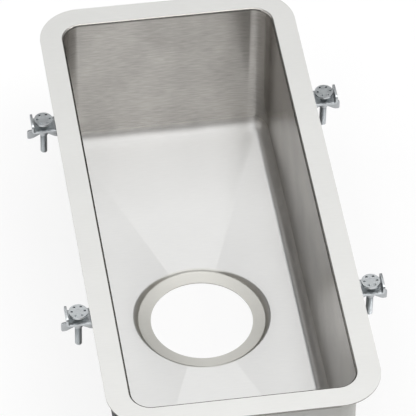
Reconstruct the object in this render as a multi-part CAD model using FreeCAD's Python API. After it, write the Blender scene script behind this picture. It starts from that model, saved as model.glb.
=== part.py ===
import FreeCAD, Part
import math
import os

# Undermount sink bowl with its sound damping and its four fastening clips.
# Frame: millimetres, +X to the right, +Y to the back wall, +Z up.
# The origin is the centre of the opening, in the plane of the worktop's underside.

# Bowl: one drawn steel sheet
opening_width = 190.5
opening_length = 458.0
wall_depth = 146.0
sheet = 1.2
rim_bend = 2.0
corner_radius = 16.5
floor_bend = 12.0
floor_fall = 4.5
flange_reach = 19.0

# Drain: a stamped recess with a ledge round the hole
drain_hole_diameter = 90.0
drain_lip_diameter = 115.8
drain_ledge_drop = 4.6
drain_ledge_slope = 8.0
drain_wall_slope = 58.0
drain_bend = 2.2

# Sound damping on the outside of the bowl
coat_thickness = 0.8
coat_top_gap = 24.0
coat_drain_gap = 9.0
pad_thickness = 3.5
pad_corner = 8.0
side_pad_length = 300.0
end_pad_length = 104.0
wall_pad_height = 78.0
wall_pad_middle = 78.0
floor_pad_width = 92.0
floor_pad_length = 104.0

# Fastening clips, two on each long side
clip_spacing = opening_length / 2
stud_diameter = 6.0
stud_length = 40.0
stud_tip_chamfer = 0.8
foot_diameter = 16.0
foot_thickness = 2.0
foot_gap = 1.5
clip_sheet = 2.0
clip_width = 18.0
clip_drop = 7.0
clip_toe_length = 9.0
clip_leg_gap = 1.0
clip_bend = 1.2
clip_corner = 3.0
clip_slot_length = 9.0
clip_slot_clearance = 0.3
thread_clearance = 0.05
washer_diameter = 15.0
washer_thickness = 1.5
nut_hub_diameter = 10.0
nut_hub_height = 7.0
nut_hub_taper = 1.0
nut_wing_span = 29.0
nut_wing_height = 8.5
nut_wing_sheet = 2.6
nut_wing_round = 3.0
nut_wing_seat_gap = 1.0

# Sizes that follow, and how far a cutting shape runs past what it cuts
inside_width = opening_width - 2 * rim_bend
inside_length = opening_length - 2 * rim_bend
floor_end = inside_length / 2 - floor_bend
bare_drain_radius = drain_lip_diameter / 2 + coat_drain_gap
floor_pad_middle = (bare_drain_radius + floor_end) / 2
overlap = 1.0
up = FreeCAD.Vector(0, 0, 1)


def rounded_rectangle(width, length, radius, height):
    """A flat face with round corners, centred on the Z axis at the given height."""
    half_width = width / 2
    half_length = length / 2
    corners = [
        (half_width - radius, half_length - radius, 0),
        (radius - half_width, half_length - radius, 90),
        (radius - half_width, radius - half_length, 180),
        (half_width - radius, radius - half_length, 270),
    ]
    arcs = []
    for x, y, start in corners:
        circle = Part.Circle(FreeCAD.Vector(x, y, height), up, radius)
        arcs.append(Part.ArcOfCircle(circle, math.radians(start), math.radians(start + 90)))
    edges = []
    for arc, following in zip(arcs, arcs[1:] + arcs[:1]):
        edges.append(arc.toShape())
        if (following.StartPoint - arc.EndPoint).Length > 1e-6:
            edges.append(Part.LineSegment(arc.EndPoint, following.StartPoint).toShape())
    return Part.Face(Part.Wire(edges))


def prism(width, length, radius, bottom, top):
    """A block with round upright corners."""
    return rounded_rectangle(width, length, radius, bottom).extrude(up * (top - bottom))


def edges_at_height(shape, height):
    """The edges of a shape that lie flat at one height."""
    found = []
    for edge in shape.Edges:
        box = edge.BoundBox
        if abs(box.ZMin - height) < 1e-6 and abs(box.ZMax - height) < 1e-6:
            found.append(edge)
    return found


def drain_form(offset):
    """The space of the drain recess, grown outwards by the offset."""
    ledge_rise = math.tan(math.radians(drain_ledge_slope))
    wall_rise = math.tan(math.radians(drain_wall_slope))
    hole_radius = drain_hole_diameter / 2
    lip_radius = drain_lip_diameter / 2 + offset / math.sin(math.radians(drain_wall_slope))
    lip_height = -wall_depth - floor_fall * (1 - drain_lip_diameter / inside_length)
    ledge_height = lip_height - drain_ledge_drop - offset
    wall_drop = (lip_radius - hole_radius) * wall_rise
    ledge_width = (wall_drop - drain_ledge_drop - offset) / (wall_rise - ledge_rise)
    bend_radius = hole_radius + ledge_width
    bend_height = ledge_height + ledge_width * ledge_rise
    top_height = -wall_depth + overlap
    top_radius = lip_radius + (top_height - lip_height) / wall_rise
    outline = [
        (0, ledge_height),
        (hole_radius, ledge_height),
        (bend_radius, bend_height),
        (top_radius, top_height),
        (0, top_height),
    ]
    points = [FreeCAD.Vector(radius, 0, height) for radius, height in outline]
    profile = Part.Face(Part.makePolygon(points + points[:1]))
    turned = profile.revolve(FreeCAD.Vector(0, 0, 0), up, 360)
    return turned.makeFillet(drain_bend + offset, edges_at_height(turned, bend_height))


def lip_edges(form):
    """The edges where the creased floor meets the sloping wall of the drain recess."""
    found = []
    for face in form.Faces:
        if isinstance(face.Surface, Part.Cone):
            for edge in face.Edges:
                if not edge.isClosed() and not isinstance(edge.Curve, Part.Line):
                    found.append(edge)
    return found


def bowl_form(offset, top):
    """The space inside the bowl, grown outwards by the offset and closed flat at the top."""
    width = inside_width + 2 * offset
    length = inside_length + 2 * offset
    bottom = -wall_depth - offset
    walls = prism(width, length, corner_radius + offset, bottom, top)
    walls = walls.makeFillet(floor_bend + offset, edges_at_height(walls, bottom))
    floor_outline = rounded_rectangle(
        inside_width - 2 * floor_bend,
        inside_length - 2 * floor_bend,
        corner_radius - floor_bend,
        bottom,
    )
    lowest = Part.Vertex(0, 0, bottom - floor_fall)
    creased_floor = Part.makeLoft([floor_outline.OuterWire, lowest], True, True)
    form = walls.fuse([creased_floor, drain_form(offset)]).removeSplitter()
    if drain_bend > offset:
        form = form.makeFillet(drain_bend - offset, lip_edges(form))
    return form


def bowl():
    """The drawn sheet: a flange turned out round the opening, walls, creased floor and drain recess."""
    skin = bowl_form(sheet, 0)
    flange = prism(
        opening_width + 2 * flange_reach,
        opening_length + 2 * flange_reach,
        corner_radius + rim_bend + flange_reach,
        -sheet,
        0,
    )
    body = skin.fuse(flange).removeSplitter()
    inside_bend = []
    for edge in edges_at_height(body, -sheet):
        box = edge.BoundBox
        reach = max(abs(box.XMin), abs(box.XMax)) - inside_width / 2 - sheet
        depth = max(abs(box.YMin), abs(box.YMax)) - inside_length / 2 - sheet
        if reach < 1e-6 and depth < 1e-6:
            inside_bend.append(edge)
    body = body.makeFillet(rim_bend - sheet, inside_bend)
    body = body.cut(bowl_form(0, overlap))
    rim = []
    for edge in edges_at_height(body, 0):
        box = edge.BoundBox
        if max(abs(box.XMin), abs(box.XMax)) < opening_width / 2:
            if max(abs(box.YMin), abs(box.YMax)) < opening_length / 2:
                rim.append(edge)
    body = body.makeFillet(rim_bend, rim)
    hole = Part.makeCylinder(drain_hole_diameter / 2, 2 * wall_depth, FreeCAD.Vector(0, 0, -2 * wall_depth))
    return body.cut(hole)


def outside_layer(thickness):
    """A layer of even thickness all over the outside of the bowl."""
    return bowl_form(sheet + thickness, -overlap).cut(bowl_form(sheet, 0))


def wall_pad(layer, length, turn):
    """A pad cut from the layer, on the wall that faces +X after the turn about Z."""
    outline = prism(wall_pad_height, length, pad_corner, 0, opening_length)
    outline.rotate(FreeCAD.Vector(0, 0, 0), FreeCAD.Vector(0, 1, 0), 90)
    outline.translate(FreeCAD.Vector(0, 0, -wall_pad_middle))
    outline.rotate(FreeCAD.Vector(0, 0, 0), up, turn)
    return layer.common(outline)


def floor_pad(layer, side):
    """A pad cut from the layer, under the floor in front of or behind the drain."""
    outline = prism(floor_pad_width, floor_pad_length, pad_corner, -2 * wall_depth, -wall_depth)
    outline.translate(FreeCAD.Vector(0, side * floor_pad_middle, 0))
    return layer.common(outline)


def sound_pads():
    """The rubber pads, by name."""
    layer = outside_layer(pad_thickness)
    return {
        "side_pad_right": wall_pad(layer, side_pad_length, 0),
        "end_pad_back": wall_pad(layer, end_pad_length, 90),
        "side_pad_left": wall_pad(layer, side_pad_length, 180),
        "end_pad_front": wall_pad(layer, end_pad_length, 270),
        "floor_pad_back": floor_pad(layer, 1),
        "floor_pad_front": floor_pad(layer, -1),
    }


def undercoat(pads):
    """The sprayed coat, which leaves the pads, the drain and the top of the walls bare."""
    coat = outside_layer(coat_thickness)
    corner = FreeCAD.Vector(-opening_width, -opening_length, -coat_top_gap)
    top_band = Part.makeBox(2 * opening_width, 2 * opening_length, coat_top_gap, corner)
    bare_drain = Part.makeCylinder(bare_drain_radius, 2 * wall_depth, FreeCAD.Vector(0, 0, -2 * wall_depth))
    return coat.cut([top_band, bare_drain] + list(pads.values()))


def stud_plate():
    """A threaded stud hanging from the round foot that is bonded to the worktop."""
    foot = Part.makeCylinder(foot_diameter / 2, foot_thickness, FreeCAD.Vector(0, 0, -foot_thickness))
    shank = Part.makeCylinder(stud_diameter / 2, stud_length, FreeCAD.Vector(0, 0, -stud_length))
    shank = shank.makeChamfer(stud_tip_chamfer, edges_at_height(shank, -stud_length))
    return foot.fuse(shank).removeSplitter()


def clip():
    """A steel strip bent into a bridge, toe towards -X under the flange and heel up on the worktop."""
    plate_top = -clip_drop
    plate_bottom = plate_top - clip_sheet
    heel_inner = foot_diameter / 2 + clip_leg_gap
    heel_outer = heel_inner + clip_sheet
    toe_inner = -(foot_diameter / 2 + foot_gap + clip_leg_gap)
    toe_outer = toe_inner - clip_sheet
    toe_end = toe_outer - clip_toe_length
    outline = [
        (heel_outer, 0),
        (heel_inner, 0),
        (heel_inner, plate_top),
        (toe_inner, plate_top),
        (toe_inner, -sheet),
        (toe_end, -sheet),
        (toe_end, -sheet - clip_sheet),
        (toe_outer, -sheet - clip_sheet),
        (toe_outer, plate_bottom),
        (heel_outer, plate_bottom),
    ]
    points = [FreeCAD.Vector(x, -clip_width / 2, z) for x, z in outline]
    strip = Part.Face(Part.makePolygon(points + points[:1])).extrude(FreeCAD.Vector(0, clip_width, 0))
    inner_bends = [(heel_inner, plate_top), (toe_inner, plate_top), (toe_outer, -sheet - clip_sheet)]
    outer_bends = [(heel_outer, plate_bottom), (toe_outer, plate_bottom), (toe_inner, -sheet)]
    strip = strip.makeFillet(clip_bend, cross_edges(strip, inner_bends))
    strip = strip.makeFillet(clip_bend + clip_sheet, cross_edges(strip, outer_bends))
    corners = []
    for edge in strip.Edges:
        box = edge.BoundBox
        if box.YLength < 1e-6 and (box.XMax < toe_end + 1e-6 or box.ZMin > -1e-6):
            corners.append(edge)
    strip = strip.makeFillet(clip_corner, corners)
    slot_width = stud_diameter + 2 * clip_slot_clearance
    slot = prism(clip_slot_length, slot_width, slot_width / 2, plate_bottom - overlap, plate_top + overlap)
    return strip.cut(slot)


def cross_edges(strip, places):
    """The edges that run across a strip, parallel to Y, at the given X and Z places."""
    found = []
    for edge in strip.Edges:
        box = edge.BoundBox
        for x, z in places:
            if box.YLength > clip_width - 1e-6 and abs(box.XMin - x) < 1e-6 and abs(box.ZMin - z) < 1e-6:
                found.append(edge)
    return found


def washer():
    """A flat washer under the clip."""
    bottom = FreeCAD.Vector(0, 0, -clip_drop - clip_sheet - washer_thickness)
    disc = Part.makeCylinder(washer_diameter / 2, washer_thickness, bottom)
    return disc.cut(Part.makeCylinder(stud_diameter / 2 + thread_clearance, washer_thickness, bottom))


def wing_nut():
    """A nut with two flared wings that point down and out from its seat under the washer."""
    seat = -clip_drop - clip_sheet - washer_thickness
    hub_radius = nut_hub_diameter / 2
    hub_bottom = seat - nut_hub_height
    tip_radius = hub_radius - nut_hub_taper
    hub = Part.makeCone(tip_radius, hub_radius, nut_hub_height, FreeCAD.Vector(0, 0, hub_bottom))
    half_span = nut_wing_span / 2
    wing_bottom = hub_bottom - nut_wing_height / 2
    wing_top = wing_bottom + nut_wing_height
    outline = [
        (0, seat - nut_wing_seat_gap),
        (hub_radius, seat - nut_wing_seat_gap),
        (half_span, wing_top),
        (half_span, wing_bottom),
        (half_span - nut_wing_height / 2, wing_bottom),
        (hub_radius / 2, hub_bottom),
        (0, hub_bottom),
    ]
    points = [FreeCAD.Vector(x, -nut_wing_sheet / 2, z) for x, z in outline]
    wing = Part.Face(Part.makePolygon(points + points[:1])).extrude(FreeCAD.Vector(0, nut_wing_sheet, 0))
    tips = []
    for edge in wing.Edges:
        box = edge.BoundBox
        if box.YLength > nut_wing_sheet - 1e-6 and box.XMin > half_span - nut_wing_height / 2 - 1e-6:
            tips.append(edge)
    wing = wing.makeFillet(nut_wing_round, tips)
    other_wing = wing.copy()
    other_wing.rotate(FreeCAD.Vector(0, 0, 0), up, 180)
    nut = hub.fuse([wing, other_wing]).removeSplitter()
    bore_radius = stud_diameter / 2 + thread_clearance
    bore = Part.makeCylinder(bore_radius, stud_length, FreeCAD.Vector(0, 0, -stud_length))
    return nut.cut(bore)


def clip_places():
    """Each clip's name, its stud's X and Y, and its turn about Z from facing right."""
    stud_x = opening_width / 2 + flange_reach + foot_gap + foot_diameter / 2
    stud_y = clip_spacing / 2
    return [
        ("front_left", -stud_x, -stud_y, 180),
        ("back_left", -stud_x, stud_y, 180),
        ("front_right", stud_x, -stud_y, 0),
        ("back_right", stud_x, stud_y, 0),
    ]


def build():
    """Every piece by its node name, in its place."""
    pieces = {"bowl_shell": bowl()}
    pads = sound_pads()
    pieces.update(pads)
    pieces["undercoat"] = undercoat(pads)
    fastening = {"stud_plate": stud_plate(), "clip": clip(), "washer": washer(), "wing_nut": wing_nut()}
    for place, x, y, turn in clip_places():
        for name, shape in fastening.items():
            piece = shape.copy()
            piece.rotate(FreeCAD.Vector(0, 0, 0), up, turn)
            piece.translate(FreeCAD.Vector(x, y, 0))
            pieces[name + "_" + place] = piece
    return pieces


os.makedirs("parts", exist_ok=True)
for node, shape in build().items():
    shape.exportStep("parts/" + node + ".step")
    print(node, shape.isValid(), len(shape.Solids), round(shape.Volume, 1))
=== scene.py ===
import math

import bmesh
import bpy
from mathutils import Matrix, Vector


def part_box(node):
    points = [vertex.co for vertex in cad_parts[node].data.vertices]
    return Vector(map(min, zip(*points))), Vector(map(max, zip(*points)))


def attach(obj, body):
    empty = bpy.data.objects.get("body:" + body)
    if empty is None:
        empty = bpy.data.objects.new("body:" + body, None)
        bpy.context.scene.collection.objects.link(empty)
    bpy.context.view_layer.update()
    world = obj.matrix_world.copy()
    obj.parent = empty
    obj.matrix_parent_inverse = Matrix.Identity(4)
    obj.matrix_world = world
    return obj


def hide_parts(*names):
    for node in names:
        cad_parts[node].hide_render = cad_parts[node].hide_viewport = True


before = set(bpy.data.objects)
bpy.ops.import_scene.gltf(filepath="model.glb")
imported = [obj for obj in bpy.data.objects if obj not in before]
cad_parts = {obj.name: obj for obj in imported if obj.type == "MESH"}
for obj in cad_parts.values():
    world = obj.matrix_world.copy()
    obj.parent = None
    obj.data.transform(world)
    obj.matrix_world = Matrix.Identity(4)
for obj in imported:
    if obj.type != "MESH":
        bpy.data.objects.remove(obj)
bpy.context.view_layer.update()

# Bowl
# One sheet of 1.2 mm stainless steel, drawn to a deep tray with a flange turned out round its mouth.
# The floor is pressed in four creased fields that fall to a stamped drain recess with a punched hole.
# The inside is brushed across the floor and level along the walls; the flange keeps its mill finish.
mm = 0.001
quarter_turn = math.pi / 2
sheet = 1.2 * mm
rim_bend = 2.0 * mm
flange_reach = 19.0 * mm
corner_radius = 16.5 * mm
floor_bend = 12.0 * mm
floor_fall = 6.0 * mm
wall_depth = 146.0 * mm
hole_radius = 45.0 * mm
lip_radius = 57.9 * mm
ledge_drop = 3.48 * mm
ledge_slope = math.radians(8)
recess_slope = math.radians(55)
drain_bend = 2.2 * mm
flange_half_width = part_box("bowl_shell")[1].x
flange_half_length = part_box("bowl_shell")[1].y
inside_half_width = flange_half_width - flange_reach - rim_bend
inside_half_length = flange_half_length - flange_reach - rim_bend
floor_half_width = inside_half_width - floor_bend
floor_half_length = inside_half_length - floor_bend
floor_corner = corner_radius - floor_bend
lip_height = -wall_depth - floor_fall * (1 - lip_radius / inside_half_length)
# Narrow strips keep the sheet flat beside its bends, and rings divide the fields of the floor.
side_step = 5 * mm
holding_strip = 0.6 * mm
field_rings = (0.03, 0.5)
nearly_level = 0.8
corner_segments = 20
bend_segments = 14
drain_segments = 6
# Each zone's colour, partly painted shade, and its dullness, contrast of the strokes and drawn-out
# reflections.
floor_colour = "#D7D7D6"
# The walls are darker than the floor: painted shade on the same steel.
wall_colour_with_painted_shade = "#C1BEBA"
# The rim bend is darker still: painted shade along the edge of the opening.
rim_painted_shade_colour = "#A09E9A"
# The drain recess is darker than the floor: painted shade in the recess.
drain_colour_with_painted_shade = "#C3C2BD"
flange_colour = "#CFCFCD"
floor_roughness = 0.5
wall_roughness = 0.26
drain_roughness = 0.48
floor_contrast = 0.06
wall_contrast = 0.55
floor_grain = 0.97
wall_grain = 0.88
stroke_width = 1.4 * mm
stroke_length = 11.0 * mm
patch_size = 45.0 * mm
wall_finish_start = 0.6 * mm
rim_fade = 0.8 * mm
flange_fade = 0.04 * mm
bowl_sharp = 30


def rounded_plate(mesh, half_width, half_length, radius, height, segments):
    """One flat face with round corners and evenly divided sides."""
    plate = bmesh.ops.create_grid(mesh, x_segments=1, y_segments=1, size=1)
    bmesh.ops.scale(mesh, vec=(half_width, half_length, 1), verts=plate["verts"])
    bmesh.ops.translate(mesh, vec=(0, 0, height), verts=plate["verts"])
    bmesh.ops.bevel(
        mesh,
        geom=plate["verts"],
        offset=radius,
        offset_type="OFFSET",
        affect="VERTICES",
        segments=segments,
        profile=0.5,
        material=-1,
    )
    for edge in [edge for edge in mesh.edges if edge.calc_length() > 2 * side_step]:
        cuts = int(edge.calc_length() / side_step)
        bmesh.ops.subdivide_edges(mesh, edges=[edge], cuts=cuts)
    mesh.faces.ensure_lookup_table()
    return mesh.faces[0]


def step(mesh, face, inward, down):
    """A new ring of the sheet: the open face goes inward and down."""
    bmesh.ops.inset_region(
        mesh, faces=[face], thickness=inward, depth=-down, use_even_offset=True, use_boundary=True
    )


def turn(mesh, face, radius, from_level):
    """A round bend of a quarter turn, from level to upright or from upright to level."""
    for index in range(bend_segments):
        start = quarter_turn * index / bend_segments
        end = quarter_turn * (index + 1) / bend_segments
        along = radius * (math.sin(end) - math.sin(start))
        across = radius * (math.cos(start) - math.cos(end))
        if from_level:
            step(mesh, face, along, across)
        else:
            step(mesh, face, across, along)


def floor_reach(direction):
    """How far the floor's outline is from the middle, in a level direction of length 1."""
    across = abs(direction.x)
    along = abs(direction.y)
    if along * floor_half_width <= across * (floor_half_length - floor_corner):
        return floor_half_width / across
    if across * floor_half_length <= along * (floor_half_width - floor_corner):
        return floor_half_length / along
    centre = Vector((floor_half_width - floor_corner, floor_half_length - floor_corner))
    nearest = Vector((across, along)).dot(centre)
    return nearest + math.sqrt(nearest**2 - centre.length_squared + floor_corner**2)


def round_corner(before, corner, after, radius):
    """Points along a corner of a section that is rounded off."""
    back = (before - corner).normalized()
    ahead = (after - corner).normalized()
    cut = radius / math.tan(back.angle(ahead) / 2)
    points = []
    for index in range(drain_segments + 1):
        share = index / drain_segments
        points.append(corner + back * cut * (1 - share) ** 2 + ahead * cut * share**2)
    return points


def floor_section(reach):
    """Radius and height from the foot of the wall to the hole, in a direction that has this reach."""
    wall_rise = math.tan(recess_slope)
    ledge_rise = math.tan(ledge_slope)
    foot = Vector((reach, -wall_depth))
    lip_at = lip_radius + (-wall_depth - floor_fall - lip_height) / wall_rise
    lip_at = lip_at / (1 - floor_fall / (reach * wall_rise))
    lip = Vector((lip_at, -wall_depth - floor_fall * (1 - lip_at / reach)))
    hole = Vector((hole_radius, lip_height - ledge_drop))
    ledge_width = ((lip_radius - hole_radius) * wall_rise - ledge_drop) / (wall_rise - ledge_rise)
    bend = hole + Vector((ledge_width, ledge_width * ledge_rise))
    points = [foot.lerp(lip, share) for share in field_rings]
    points += round_corner(foot, lip, bend, drain_bend)
    points += round_corner(lip, bend, hole, drain_bend)
    points.append(hole)
    return points


def draw_floor(mesh, face, section):
    """Rings from the foot of the walls to the drain, each point on its own line to the middle."""
    for index in range(len(section(floor_half_length))):
        bmesh.ops.inset_region(mesh, faces=[face], thickness=0, depth=0, use_boundary=True)
        for vert in face.verts:
            direction = vert.co.xy.normalized()
            radius, height = section(floor_reach(direction))[index]
            vert.co = Vector((direction.x * radius, direction.y * radius, height))
    mesh.normal_update()


def brush_map(mesh):
    """A map in metres with U along the belt's strokes: across the floor and level along the walls."""
    layer = mesh.loops.layers.uv.new("brush")
    end_half = inside_half_width - corner_radius
    side_half = inside_half_length - corner_radius
    for face in mesh.faces:
        middle = face.calc_center_median()
        side = math.copysign(1, middle.x)
        for loop in face.loops:
            x, y, z = loop.vert.co
            if abs(middle.x) < floor_half_width or face.normal.z > nearly_level:
                loop[layer].uv = (x, y + z)
            elif abs(middle.y) < side_half:
                along = end_half + corner_radius * quarter_turn + side_half - y
                loop[layer].uv = (side * along, z - side * x)
            else:
                angle = math.atan2(abs(x) - end_half, abs(y) - side_half)
                loop[layer].uv = (side * (end_half + corner_radius * angle), z)


def srgb(code):
    """A colour from its sRGB hex code, as the linear values that a shader takes."""
    channels = []
    for start in (1, 3, 5):
        value = int(code[start : start + 2], 16) / 255
        channels.append(value / 12.92 if value <= 0.04045 else ((value + 0.055) / 1.055) ** 2.4)
    return (*channels, 1)


def add_node(tree, kind, settings, inputs):
    """One shader node with its settings; an input is a value, or the output that is linked to it."""
    made = tree.nodes.new(kind)
    for name, value in settings.items():
        setattr(made, name, value)
    for name, value in inputs.items():
        if isinstance(value, bpy.types.NodeSocket):
            tree.links.new(value, made.inputs[name])
        else:
            made.inputs[name].default_value = value
    return made


def new_material(name):
    """An empty material and its node tree."""
    made = bpy.data.materials.new(name)
    made.use_nodes = True
    made.node_tree.nodes.clear()
    return made, made.node_tree


def add_piece(mesh, material, body, node, sharp):
    """The finished mesh in the place of its CAD node, shaded smooth up to the sharp angle in degrees."""
    bmesh.ops.recalc_face_normals(mesh, faces=mesh.faces)
    for face in mesh.faces:
        face.smooth = True
    for edge in mesh.edges:
        edge.smooth = edge.calc_face_angle(0) < math.radians(sharp)
    data = bpy.data.meshes.new("visual_" + node)
    mesh.to_mesh(data)
    mesh.free()
    data.materials.append(material)
    piece = bpy.data.objects.new("visual_" + node, data)
    bpy.context.scene.collection.objects.link(piece)
    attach(piece, body)
    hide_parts(node)


bowl = bmesh.new()
mouth = rounded_plate(
    bowl,
    flange_half_width,
    flange_half_length,
    corner_radius + rim_bend + flange_reach,
    0,
    corner_segments,
)
step(bowl, mouth, flange_reach - holding_strip, 0)
step(bowl, mouth, holding_strip, 0)
turn(bowl, mouth, rim_bend, True)
step(bowl, mouth, 0, holding_strip)
step(bowl, mouth, 0, wall_depth - rim_bend - floor_bend - 2 * holding_strip)
step(bowl, mouth, 0, holding_strip)
turn(bowl, mouth, floor_bend, False)
draw_floor(bowl, mouth, floor_section)
bmesh.ops.delete(bowl, geom=[mouth], context="FACES")
bmesh.ops.solidify(bowl, geom=bowl.faces[:], thickness=sheet)
brush_map(bowl)

# Brushed stainless steel: satin, with reflections drawn out across the strokes of the belt.
# The real strokes are 0.1 mm wide; they are drawn 1.4 mm wide, so that the picture can hold them.
# The floor is brushed most coarsely; the rim bend keeps faint strokes and is darkened as painted shade.
steel, tree = new_material("brushed stainless steel")
brush = add_node(tree, "ShaderNodeUVMap", {"uv_map": "brush"}, {})
strokes_at = add_node(
    tree,
    "ShaderNodeMapping",
    {},
    {"Vector": brush.outputs["UV"], "Scale": (1 / stroke_length, 1 / stroke_width, 1)},
)
strokes = add_node(
    tree, "ShaderNodeTexNoise", {}, {"Vector": strokes_at.outputs["Vector"], "Scale": 1, "Detail": 2}
)
position = add_node(tree, "ShaderNodeTexCoord", {}, {})
patches = add_node(
    tree,
    "ShaderNodeTexNoise",
    {},
    {"Vector": position.outputs["Object"], "Scale": 1 / patch_size, "Detail": 3},
)
axes = add_node(tree, "ShaderNodeSeparateXYZ", {}, {"Vector": position.outputs["Object"]})
off_floor = add_node(
    tree,
    "ShaderNodeMapRange",
    {},
    {
        "Value": axes.outputs["Z"],
        "From Min": wall_finish_start - wall_depth,
        "From Max": floor_bend - wall_depth,
    },
)
outward = add_node(
    tree, "ShaderNodeVectorMath", {"operation": "MULTIPLY"}, {0: position.outputs["Object"], 1: (1, 1, 0)}
)
from_middle = add_node(
    tree, "ShaderNodeVectorMath", {"operation": "LENGTH"}, {0: outward.outputs["Vector"]}
)
in_drain = add_node(
    tree,
    "ShaderNodeMapRange",
    {},
    {
        "Value": from_middle.outputs["Value"],
        "From Min": lip_radius + drain_bend,
        "From Max": lip_radius,
    },
)
on_rim = add_node(
    tree,
    "ShaderNodeMapRange",
    {},
    {"Value": axes.outputs["Z"], "From Min": -rim_bend - rim_fade, "From Max": -rim_bend},
)
on_flange = add_node(
    tree,
    "ShaderNodeMapRange",
    {},
    {"Value": axes.outputs["Z"], "From Min": -flange_fade, "From Max": 0},
)
# The colour starts as the floor's steel; walls, drain recess and rim bend mix in darker as painted shade.
colour = srgb(floor_colour)
dullness = floor_roughness
contrast = floor_contrast
drawn_out = floor_grain
for zone, zone_colour_and_painted_shade, zone_roughness, zone_contrast, zone_grain in [
    (off_floor, wall_colour_with_painted_shade, wall_roughness, wall_contrast, wall_grain),
    (in_drain, drain_colour_with_painted_shade, drain_roughness, floor_contrast, wall_grain),
    (on_rim, rim_painted_shade_colour, wall_roughness, floor_contrast, wall_grain),
    (on_flange, flange_colour, floor_roughness, floor_contrast, wall_grain),
]:
    within = zone.outputs["Result"]
    colour = add_node(
        tree, "ShaderNodeMix", {"data_type": "RGBA"}, {0: within, 6: colour, 7: srgb(zone_colour_and_painted_shade)}
    ).outputs[2]
    dullness = add_node(tree, "ShaderNodeMix", {}, {0: within, 2: dullness, 3: zone_roughness}).outputs[0]
    contrast = add_node(tree, "ShaderNodeMix", {}, {0: within, 2: contrast, 3: zone_contrast}).outputs[0]
    drawn_out = add_node(tree, "ShaderNodeMix", {}, {0: within, 2: drawn_out, 3: zone_grain}).outputs[0]
marks = add_node(
    tree,
    "ShaderNodeMath",
    {"operation": "ADD"},
    {0: strokes.outputs["Fac"], 1: patches.outputs["Fac"]},
)
offset = add_node(tree, "ShaderNodeMath", {"operation": "SUBTRACT"}, {0: marks.outputs["Value"], 1: 1})
shade = add_node(
    tree,
    "ShaderNodeMath",
    {"operation": "MULTIPLY_ADD"},
    {0: offset.outputs["Value"], 1: contrast, 2: 1},
)
tint = add_node(
    tree,
    "ShaderNodeVectorMath",
    {"operation": "SCALE"},
    {0: colour, "Scale": shade.outputs["Value"]},
)
grain = add_node(tree, "ShaderNodeTangent", {"direction_type": "UV_MAP", "uv_map": "brush"}, {})
stroke_relief = add_node(
    tree,
    "ShaderNodeBump",
    {},
    {"Height": strokes.outputs["Fac"], "Strength": 0.05, "Distance": 0.2 * mm},
)
metal = add_node(
    tree,
    "ShaderNodeBsdfPrincipled",
    {},
    {
        "Base Color": tint.outputs["Vector"],
        "Metallic": 1,
        "Roughness": dullness,
        "Anisotropic": drawn_out,
        "Anisotropic Rotation": 0.25,
        "Tangent": grain.outputs["Tangent"],
        "Normal": stroke_relief.outputs["Normal"],
    },
)
add_node(tree, "ShaderNodeOutputMaterial", {}, {"Surface": metal.outputs["BSDF"]})
add_piece(bowl, steel, "sink", "bowl_shell", bowl_sharp)

# Undercoat
# A thick coat, sprayed on the bowl's outside against noise and condensation, dried to a pebbled skin.
# It starts below the flange and leaves the drain recess bare.
coat_thickness = 0.8 * mm
coat_top_gap = 24.0 * mm
coat_drain_gap = 9.0 * mm
coat_offset = sheet + coat_thickness
coat_colour = "#C9C9C5"
pebble_size = 2.4 * mm
coat_sharp = 40


def coat_section(reach):
    """Radius and height of the coat's skin, from the foot of the wall to its edge round the drain."""
    foot = Vector((reach, -wall_depth - coat_offset))
    lowest = Vector((0, -wall_depth - coat_offset - floor_fall))
    edge = (lip_radius + coat_drain_gap) / reach
    return [foot.lerp(lowest, field_rings[0]), foot.lerp(lowest, 1 - edge)]


coat = bmesh.new()
skin = rounded_plate(
    coat,
    inside_half_width + coat_offset,
    inside_half_length + coat_offset,
    corner_radius + coat_offset,
    -coat_top_gap,
    corner_segments,
)
step(coat, skin, 0, wall_depth - floor_bend - coat_top_gap - holding_strip)
step(coat, skin, 0, holding_strip)
turn(coat, skin, floor_bend + coat_offset, False)
draw_floor(coat, skin, coat_section)
bmesh.ops.delete(coat, geom=[skin], context="FACES")
bmesh.ops.solidify(coat, geom=coat.faces[:], thickness=-coat_thickness)

# Dried sprayed coat: matt and pale, with a pebbled skin that breaks the light into soft grains.
spray, tree = new_material("sprayed undercoat")
position = add_node(tree, "ShaderNodeTexCoord", {}, {})
pebbles = add_node(
    tree,
    "ShaderNodeTexNoise",
    {},
    {"Vector": position.outputs["Object"], "Scale": 1 / pebble_size, "Detail": 2},
)
pebble_relief = add_node(
    tree,
    "ShaderNodeBump",
    {},
    {"Height": pebbles.outputs["Fac"], "Strength": 0.6, "Distance": 0.4 * mm},
)
film = add_node(
    tree,
    "ShaderNodeBsdfPrincipled",
    {},
    {"Base Color": srgb(coat_colour), "Roughness": 0.85, "Normal": pebble_relief.outputs["Normal"]},
)
add_node(tree, "ShaderNodeOutputMaterial", {}, {"Surface": film.outputs["BSDF"]})
add_piece(coat, spray, "sink", "undercoat", coat_sharp)

# Sound pads
# Slabs of dense rubber, die-cut with round corners, that are stuck to the walls and under the floor.
# They take the ring out of the sheet; the two under the floor follow its creases.
pad_thickness = 3.5 * mm
pad_corner = 8.0 * mm
pad_edge = 0.6 * mm
wall_pad_height = 78.0 * mm
wall_pad_middle = 78.0 * mm
side_pad_length = 300.0 * mm
end_pad_length = 104.0 * mm
floor_pad_width = 92.0 * mm
floor_pad_length = 104.0 * mm
floor_pad_middle = (lip_radius + coat_drain_gap + floor_half_length) / 2
rubber_colour = "#3B3C3E"
rubber_grain = 1.1 * mm
pad_corner_segments = 8
eased_segments = 3
same_point = 0.001 * mm
pad_sharp = 40


def sharp_edges(mesh):
    """The edges where two faces meet at more than half a right angle."""
    return [edge for edge in mesh.edges if edge.calc_face_angle(0) > quarter_turn / 2]


def ease_edges(mesh, edges, width):
    """Edges with a small round."""
    bmesh.ops.bevel(
        mesh,
        geom=edges,
        offset=width,
        affect="EDGES",
        segments=eased_segments,
        profile=0.5,
        material=-1,
    )


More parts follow.
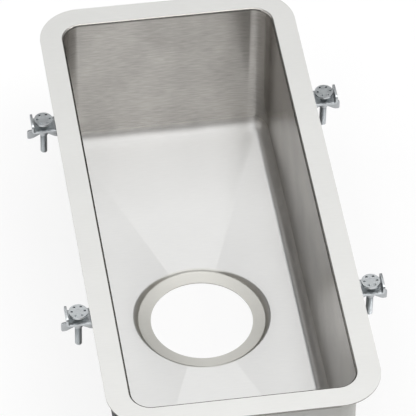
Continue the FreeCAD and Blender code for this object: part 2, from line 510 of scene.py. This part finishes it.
def thicken(mesh, thickness):
    """Flat faces to a closed plate, upwards."""
    raised = bmesh.ops.extrude_face_region(mesh, geom=mesh.faces[:])
    verts = [item for item in raised["geom"] if isinstance(item, bmesh.types.BMVert)]
    bmesh.ops.translate(mesh, vec=(0, 0, thickness), verts=verts)
    bmesh.ops.recalc_face_normals(mesh, faces=mesh.faces)


def pad(width, length):
    """A flat pad with its glued side at height 0."""
    mesh = bmesh.new()
    rounded_plate(mesh, width / 2, length / 2, pad_corner, 0, pad_corner_segments)
    thicken(mesh, pad_thickness)
    outer = [edge for edge in sharp_edges(mesh) if min(vert.co.z for vert in edge.verts) > 0]
    ease_edges(mesh, outer, pad_edge)
    return mesh


# Damping rubber: dark and dull, with a fine grain and only a faint sheen.
rubber, tree = new_material("damping rubber")
position = add_node(tree, "ShaderNodeTexCoord", {}, {})
grains = add_node(
    tree,
    "ShaderNodeTexNoise",
    {},
    {"Vector": position.outputs["Object"], "Scale": 1 / rubber_grain, "Detail": 1},
)
grain_relief = add_node(
    tree,
    "ShaderNodeBump",
    {},
    {"Height": grains.outputs["Fac"], "Strength": 0.3, "Distance": 0.15 * mm},
)
slab = add_node(
    tree,
    "ShaderNodeBsdfPrincipled",
    {},
    {"Base Color": srgb(rubber_colour), "Roughness": 0.75, "Normal": grain_relief.outputs["Normal"]},
)
add_node(tree, "ShaderNodeOutputMaterial", {}, {"Surface": slab.outputs["BSDF"]})
side_wall = inside_half_width + sheet
end_wall = inside_half_length + sheet
for name, quarter, wall, length in [
    ("side_pad_right", 0, side_wall, side_pad_length),
    ("end_pad_back", 1, end_wall, end_pad_length),
    ("side_pad_left", 2, side_wall, side_pad_length),
    ("end_pad_front", 3, end_wall, end_pad_length),
]:
    mesh = pad(wall_pad_height, length)
    stood_up = Matrix.Rotation(quarter_turn, 4, "Y")
    against = Matrix.Translation((wall, 0, -wall_pad_middle))
    facing = Matrix.Rotation(quarter_turn * quarter, 4, "Z")
    bmesh.ops.transform(mesh, matrix=facing @ against @ stood_up, verts=mesh.verts)
    add_piece(mesh, rubber, "sink", name, pad_sharp)
for name, side in [("floor_pad_back", 1), ("floor_pad_front", -1)]:
    mesh = pad(floor_pad_width, floor_pad_length)
    bmesh.ops.translate(mesh, vec=(0, side * floor_pad_middle, 0), verts=mesh.verts)
    for hand in (1, -1):
        for across, along in [
            (floor_half_width, floor_half_length - floor_corner),
            (floor_half_width - floor_corner, floor_half_length),
        ]:
            bmesh.ops.bisect_plane(
                mesh,
                geom=mesh.verts[:] + mesh.edges[:] + mesh.faces[:],
                dist=same_point,
                plane_co=(0, 0, 0),
                plane_no=(along, -hand * across, 0),
            )
    for vert in mesh.verts:
        share = vert.co.xy.length / floor_reach(vert.co.xy.normalized())
        vert.co.z = -wall_depth - sheet - floor_fall * (1 - share) - vert.co.z
    add_piece(mesh, rubber, "sink", name, pad_sharp)

# Stud plates
# M6 studs of zinc-plated steel, each welded in a round foot with six holes.
# The foot is bonded to the underside of the worktop beside the flange; the glue keys into the holes.
stud_radius = 3.0 * mm
stud_core = 2.45 * mm
stud_length = 40.0 * mm
stud_pitch = 1.0 * mm
stud_tip = 0.8 * mm
foot_radius = 8.0 * mm
foot_thickness = 2.0 * mm
foot_hole = 1.1 * mm
foot_hole_circle = 5.5 * mm
foot_holes = 6
sector_segments = 8
foot_hole_segments = 18
sector_weld = 0.01 * mm
stud_head_gap = 0.1 * mm
# The thread's ridge: how deep it sits in the core, and half its width as a share of the pitch.
thread_sink = 0.2 * mm
thread_foot = 0.42
thread_crest = 0.06
turn_steps = 24
zinc_colour = "#C6CACC"
bath_patch = 6.0 * mm
steel_sharp = 35
places = ["front_left", "back_left", "front_right", "back_right"]


def spin_profile(mesh, points, steps):
    """A body of revolution about the Z axis from its section, given as radius and height."""
    verts = [mesh.verts.new((radius, 0, height)) for radius, height in points]
    edges = [mesh.edges.new(pair) for pair in zip(verts, verts[1:])]
    bmesh.ops.spin(
        mesh,
        geom=verts + edges,
        cent=(0, 0, 0),
        axis=(0, 0, 1),
        angle=2 * math.pi,
        steps=steps,
        use_merge=True,
    )
    bmesh.ops.remove_doubles(mesh, verts=mesh.verts, dist=same_point)


def perforated_foot(mesh):
    """The foot: one sector with its hole, repeated round the stud and thickened."""
    sector = 2 * math.pi / foot_holes
    inner = []
    outer = []
    for index in range(sector_segments + 1):
        angle = sector * (index / sector_segments - 0.5)
        inner.append(mesh.verts.new((stud_core * math.cos(angle), stud_core * math.sin(angle), 0)))
        outer.append(mesh.verts.new((foot_radius * math.cos(angle), foot_radius * math.sin(angle), 0)))
    loop = inner + outer[::-1]
    for vert, following in zip(loop, loop[1:] + loop[:1]):
        mesh.edges.new((vert, following))
    bmesh.ops.create_circle(
        mesh,
        segments=foot_hole_segments,
        radius=foot_hole,
        matrix=Matrix.Translation((foot_hole_circle, 0, 0)),
    )
    bmesh.ops.bridge_loops(mesh, edges=mesh.edges[:])
    bmesh.ops.spin(
        mesh,
        geom=mesh.verts[:] + mesh.edges[:] + mesh.faces[:],
        cent=(0, 0, 0),
        axis=(0, 0, 1),
        angle=sector * (foot_holes - 1),
        steps=foot_holes - 1,
        use_duplicate=True,
    )
    bmesh.ops.remove_doubles(mesh, verts=mesh.verts, dist=sector_weld)
    thicken(mesh, -foot_thickness)


def thread(mesh, start, end):
    """A ridge that winds down the stud, closed at both ends."""
    turns = (start - end) / stud_pitch
    root = stud_core - thread_sink
    verts = []
    for radius, share in [
        (root, thread_foot),
        (stud_radius, thread_crest),
        (stud_radius, -thread_crest),
        (root, -thread_foot),
    ]:
        verts.append(mesh.verts.new((radius, 0, start + share * stud_pitch)))
    face = mesh.faces.new(verts)
    bmesh.ops.spin(
        mesh,
        geom=verts + face.edges[:] + [face],
        cent=(0, 0, 0),
        axis=(0, 0, 1),
        dvec=(0, 0, -stud_pitch / turn_steps),
        angle=2 * math.pi * turns,
        steps=int(turns * turn_steps),
    )


def set_in_place(mesh, place):
    """From the middle of the opening to the stud, with the toe of the clip towards the bowl."""
    low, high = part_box("stud_plate_" + place)
    if low.x < 0:
        bmesh.ops.rotate(mesh, cent=(0, 0, 0), matrix=Matrix.Rotation(math.pi, 3, "Z"), verts=mesh.verts)
    middle = (low + high) / 2
    bmesh.ops.translate(mesh, vec=(middle.x, middle.y, 0), verts=mesh.verts)


# Zinc-plated steel: pale and half bright, with the slightly uneven cast of the plating bath.
zinc, tree = new_material("zinc-plated steel")
position = add_node(tree, "ShaderNodeTexCoord", {}, {})
bath = add_node(
    tree,
    "ShaderNodeTexNoise",
    {},
    {"Vector": position.outputs["Object"], "Scale": 1 / bath_patch, "Detail": 2},
)
bath_dullness = add_node(
    tree,
    "ShaderNodeMapRange",
    {},
    {"Value": bath.outputs["Fac"], "From Min": 0.3, "From Max": 0.7, "To Min": 0.3, "To Max": 0.42},
)
plating = add_node(
    tree,
    "ShaderNodeBsdfPrincipled",
    {},
    {"Base Color": srgb(zinc_colour), "Metallic": 1, "Roughness": bath_dullness.outputs["Result"]},
)
add_node(tree, "ShaderNodeOutputMaterial", {}, {"Surface": plating.outputs["BSDF"]})
stud = bmesh.new()
perforated_foot(stud)
stud_section = [
    (0, -stud_head_gap),
    (stud_core, -stud_head_gap),
    (stud_core, stud_tip - stud_length),
    (stud_core - stud_tip, -stud_length),
    (0, -stud_length),
]
spin_profile(stud, stud_section, turn_steps)
thread(stud, -foot_thickness - stud_pitch, stud_pitch - stud_length)
for place in places:
    mesh = stud.copy()
    set_in_place(mesh, place)
    add_piece(mesh, zinc, "sink", "stud_plate_" + place, steel_sharp)

# Clips
# Strips of 2 mm zinc-plated steel, punched with a slot and round corners, then bent into a bridge.
# The toe lies under the sink's flange, the heel on the worktop, and the stud goes through the slot.
clip_sheet = 2.0 * mm
clip_width = 18.0 * mm
clip_corner = 3.0 * mm
clip_edge = 0.25 * mm
clip_heel = 10.0 * mm
clip_middle = 8.0 * mm
clip_riser = 11.5 * mm
clip_toe = 21.5 * mm
clip_bend = 2.2 * mm
clip_slot_length = 9.0 * mm
clip_slot_width = 6.6 * mm
clip_bend_cuts = 6
slot_segments = 8
clip_corner_segments = 6
bend_length = clip_bend * quarter_turn
toe_rise = clip_middle - sheet - clip_sheet / 2
heel_run = clip_middle - clip_bend
plate_run = clip_heel + clip_riser - 2 * clip_bend
riser_run = toe_rise - 2 * clip_bend
toe_run = clip_toe - clip_riser - clip_bend
clip_runs = [
    (heel_run, -quarter_turn),
    (plate_run, -quarter_turn),
    (riser_run, quarter_turn),
    (toe_run, 0),
]
clip_length = heel_run + plate_run + riser_run + toe_run + 3 * bend_length
slot_at = heel_run + bend_length + clip_heel - clip_bend


def clip_blank():
    """The flat strip with its slot, from the heel along X."""
    mesh = bmesh.new()
    rounded_plate(mesh, clip_slot_length / 2, clip_slot_width / 2, clip_slot_width / 2, 0, slot_segments)
    bmesh.ops.translate(mesh, vec=(slot_at - clip_length / 2, 0, 0), verts=mesh.verts)
    rounded_plate(mesh, clip_length / 2, clip_width / 2, clip_corner, 0, clip_corner_segments)
    bmesh.ops.delete(mesh, geom=mesh.faces[:], context="FACES_ONLY")
    bmesh.ops.remove_doubles(mesh, verts=mesh.verts, dist=same_point)
    bmesh.ops.bridge_loops(mesh, edges=mesh.edges[:])
    thicken(mesh, clip_sheet)
    ease_edges(mesh, sharp_edges(mesh), clip_edge)
    bmesh.ops.translate(mesh, vec=(clip_length / 2, 0, -clip_sheet / 2), verts=mesh.verts)
    return mesh


def cut_at_bends(mesh):
    """Cuts across the strip, so that it can follow its bends."""
    at = 0
    for run in (heel_run, plate_run, riser_run):
        at += run
        for index in range(clip_bend_cuts + 1):
            bmesh.ops.bisect_plane(
                mesh,
                geom=mesh.verts[:] + mesh.edges[:] + mesh.faces[:],
                dist=same_point,
                plane_co=(at + bend_length * index / clip_bend_cuts, 0, 0),
                plane_no=(1, 0, 0),
            )
        at += bend_length


def bend_point(along, above):
    """Where a point of the flat strip comes to lie: along the strip, and above its middle."""
    at = Vector((clip_heel, 0))
    heading = -quarter_turn
    for run, turning in clip_runs:
        straight = min(along, run)
        at += Vector((math.cos(heading), math.sin(heading))) * straight
        along -= straight
        if along <= 0 or turning == 0:
            break
        share = min(along / bend_length, 1)
        hand = math.copysign(clip_bend, turning)
        at += Vector((-math.sin(heading), math.cos(heading))) * hand
        heading += turning * share
        at -= Vector((-math.sin(heading), math.cos(heading))) * hand
        along -= bend_length * share
    return at + Vector((-math.sin(heading), math.cos(heading))) * above


clip = clip_blank()
cut_at_bends(clip)
for vert in clip.verts:
    bent = bend_point(vert.co.x, vert.co.z)
    vert.co = Vector((bent.x, vert.co.y, bent.y))
for place in places:
    mesh = clip.copy()
    set_in_place(mesh, place)
    add_piece(mesh, zinc, "clip_" + place, "clip_" + place, steel_sharp)

# Washers
# Flat stamped washers of zinc-plated steel between clip and wing nut.
# Stamping leaves their rims slightly rounded.
washer_radius = 7.5 * mm
washer_bore = 3.05 * mm
washer_thickness = 1.5 * mm
washer_edge = 0.25 * mm
washer_top = -clip_middle - clip_sheet / 2
washer_low = washer_top - washer_thickness
washer_section = [
    (washer_bore, washer_top),
    (washer_radius - washer_edge, washer_top),
    (washer_radius, washer_top - washer_edge),
    (washer_radius, washer_low + washer_edge),
    (washer_radius - washer_edge, washer_low),
    (washer_bore, washer_low),
]
washer = bmesh.new()
spin_profile(washer, washer_section + washer_section[:1], 2 * turn_steps)
for place in places:
    mesh = washer.copy()
    set_in_place(mesh, place)
    add_piece(mesh, zinc, "washer_" + place, "washer_" + place, steel_sharp)

# Wing nuts
# Die-cast zinc nuts with two flared wings, turned by hand to draw the clip up against the flange.
# The threaded hub turns on the washer with a hair of play; the wings point down, away from it.
nut_play = 0.02 * mm
nut_seat = washer_low - nut_play
nut_hub_radius = 5.0 * mm
nut_hub_tip = 4.0 * mm
nut_hub_height = 7.0 * mm
nut_half_span = 14.5 * mm
nut_wing_height = 8.5 * mm
nut_wing_sheet = 2.6 * mm
nut_wing_round = 3.0 * mm
nut_wing_gap = 1.0 * mm
nut_edge = 0.5 * mm
nut_low = nut_seat - nut_hub_height
wing_low = nut_low - nut_wing_height / 2
wing_overlap = 0.4 * mm
wing_root = washer_bore + wing_overlap
wing_tip_segments = 6
casting_colour = "#BEC1C3"
mould_grain = 0.8 * mm
nut_sharp = 35


def wing(mesh, half_turn):
    """One wing: its outline with round tips, thickened and eased, on one side of the hub."""
    flat = bmesh.new()
    outline = [
        (wing_root, nut_seat - nut_wing_gap),
        (nut_hub_radius, nut_seat - nut_wing_gap),
        (nut_half_span, wing_low + nut_wing_height),
        (nut_half_span, wing_low),
        (nut_half_span - nut_wing_height / 2, wing_low),
        (wing_root, nut_low),
    ]
    verts = [flat.verts.new((along, height, 0)) for along, height in outline]
    tips = verts[2:5]
    flat.faces.new(verts)
    bmesh.ops.bevel(
        flat,
        geom=tips,
        offset=nut_wing_round / 2,
        affect="VERTICES",
        segments=wing_tip_segments,
        profile=0.5,
        material=-1,
    )
    thicken(flat, nut_wing_sheet)
    ease_edges(flat, sharp_edges(flat), nut_edge)
    stand = Matrix.Rotation(quarter_turn, 4, "X") @ Matrix.Translation((0, 0, -nut_wing_sheet / 2))
    around = Matrix.Rotation(math.pi * half_turn, 4, "Z")
    bmesh.ops.transform(flat, matrix=around @ stand, verts=flat.verts)
    part = bpy.data.meshes.new("wing")
    flat.to_mesh(part)
    flat.free()
    mesh.from_mesh(part)
    bpy.data.meshes.remove(part)


# Zinc casting: duller and a little greyer than the plated steel, with the fine skin of the mould.
casting, tree = new_material("cast zinc")
position = add_node(tree, "ShaderNodeTexCoord", {}, {})
mould = add_node(
    tree,
    "ShaderNodeTexNoise",
    {},
    {"Vector": position.outputs["Object"], "Scale": 1 / mould_grain, "Detail": 1},
)
mould_relief = add_node(
    tree,
    "ShaderNodeBump",
    {},
    {"Height": mould.outputs["Fac"], "Strength": 0.2, "Distance": 0.1 * mm},
)
cast = add_node(
    tree,
    "ShaderNodeBsdfPrincipled",
    {},
    {
        "Base Color": srgb(casting_colour),
        "Metallic": 1,
        "Roughness": 0.48,
        "Normal": mould_relief.outputs["Normal"],
    },
)
add_node(tree, "ShaderNodeOutputMaterial", {}, {"Surface": cast.outputs["BSDF"]})
hub_section = [
    (washer_bore, nut_seat),
    (nut_hub_radius - nut_edge, nut_seat),
    (nut_hub_radius, nut_seat - nut_edge),
    (nut_hub_tip, nut_low + nut_edge),
    (nut_hub_tip - nut_edge, nut_low),
    (washer_bore, nut_low),
]
wing_nut = bmesh.new()
spin_profile(wing_nut, hub_section + hub_section[:1], 2 * turn_steps)
wing(wing_nut, 0)
wing(wing_nut, 1)
for place in places:
    mesh = wing_nut.copy()
    set_in_place(mesh, place)
    add_piece(mesh, casting, "wing_nut_" + place, "wing_nut_" + place, nut_sharp)

# Studio
# A plain pale floor under the sink, four softboxes overhead and an upright light panel on each side.
# The floor is white to the camera and in reflections, and still takes the sink's shadow.
floor_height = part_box("bowl_shell")[0].z
floor_half_size = 6
paper_colour = "#F2F2F2"
light_colour = "#FFFFFF"
paper_glow = 0.8
floor_mesh = bmesh.new()
bmesh.ops.create_grid(floor_mesh, x_segments=1, y_segments=1, size=floor_half_size)
bmesh.ops.translate(floor_mesh, vec=(0, 0, floor_height), verts=floor_mesh.verts)
floor_data = bpy.data.meshes.new("studio floor")
floor_mesh.to_mesh(floor_data)
floor_piece = bpy.data.objects.new("studio floor", floor_data)
bpy.context.scene.collection.objects.link(floor_piece)
paper, tree = new_material("white studio paper")
ray = add_node(tree, "ShaderNodeLightPath", {}, {})
seen_first = add_node(
    tree,
    "ShaderNodeMath",
    {"operation": "MAXIMUM"},
    {0: ray.outputs["Is Camera Ray"], 1: ray.outputs["Is Glossy Ray"]},
)
seen = add_node(
    tree,
    "ShaderNodeMath",
    {"operation": "MAXIMUM"},
    {0: seen_first.outputs["Value"], 1: ray.outputs["Is Transmission Ray"]},
)
glow_share = add_node(
    tree, "ShaderNodeMath", {"operation": "MULTIPLY"}, {0: seen.outputs["Value"], 1: paper_glow}
)
matt = add_node(tree, "ShaderNodeBsdfDiffuse", {}, {"Color": srgb(paper_colour)})
glow = add_node(tree, "ShaderNodeEmission", {}, {"Color": srgb(light_colour), "Strength": 1})
paper_mix = add_node(
    tree,
    "ShaderNodeMixShader",
    {},
    {0: glow_share.outputs["Value"], 1: matt.outputs["BSDF"], 2: glow.outputs["Emission"]},
)
add_node(tree, "ShaderNodeOutputMaterial", {}, {"Surface": paper_mix.outputs["Shader"]})
floor_data.materials.append(paper)

world = bpy.data.worlds.new("soft studio")
world.use_nodes = True
world.node_tree.nodes.clear()
air = add_node(
    world.node_tree, "ShaderNodeBackground", {}, {"Color": srgb(light_colour), "Strength": 0.04}
)
add_node(world.node_tree, "ShaderNodeOutputWorld", {}, {"Surface": air.outputs["Background"]})
bpy.context.scene.world = world

for name, at, tilt, width, length, energy in [
    ("overhead_front", (0.32, -0.55, 2.0), (0, 0), 1.2, 1.1, 18),
    ("overhead_right", (1.6, -0.55, 2.0), (0, 0), 0.8, 1.1, 18),
    ("overhead_back", (0.15, 0.8, 2.0), (0, 0), 1.7, 1.6, 16),
    ("overhead_left", (-0.9, -1.1, 2.0), (0, 0), 0.8, 2.2, 15),
    ("left_panel", (-1.9, 0, 1.1), (0, -90), 1.2, 3.0, 31),
    ("right_panel", (1.9, 0, 1.3), (0, 90), 1.6, 3.0, 18),
    ("front_panel", (0, -2.3, 1.2), (90, 0), 3.0, 1.4, 3),
    ("back_panel", (0, 2.3, 1.2), (-90, 0), 3.0, 1.4, 3),
]:
    lamp = bpy.data.lights.new(name, "AREA")
    lamp.shape = "RECTANGLE"
    lamp.size = width
    lamp.size_y = length
    lamp.energy = energy
    softbox = bpy.data.objects.new(name, lamp)
    softbox.location = at
    softbox.rotation_euler = (math.radians(tilt[0]), math.radians(tilt[1]), 0)
    bpy.context.scene.collection.objects.link(softbox)

# Camera
# Placed as fitted to the edge of the opening and the drain hole in the photograph: from the front,
# a little to the left, looking down at 46 degrees through a long lens.
azimuth = math.radians(-9.636)
elevation = math.radians(46.062)
roll = math.radians(1.153)
distance = 3599.04 * mm
shift_right = 3.26 * mm
shift_up = -8.2 * mm
back = Vector(
    (
        math.sin(azimuth) * math.cos(elevation),
        -math.cos(azimuth) * math.cos(elevation),
        math.sin(elevation),
    )
)
level = Vector((math.cos(azimuth), math.sin(azimuth), 0))
upright = back.cross(level)
right = level * math.cos(roll) + upright * math.sin(roll)
upward = upright * math.cos(roll) - level * math.sin(roll)
lens = bpy.data.cameras.new("camera")
lens.sensor_width = 36
lens.lens = 364.74
lens.clip_end = 20
viewer = bpy.data.objects.new("camera", lens)
viewer.matrix_world = Matrix.Translation(
    back * distance + right * shift_right + upward * shift_up
) @ Matrix((right, upward, back)).transposed().to_4x4()
bpy.context.scene.collection.objects.link(viewer)
bpy.context.scene.camera = viewer
bpy.context.scene.view_settings.view_transform = "Standard"
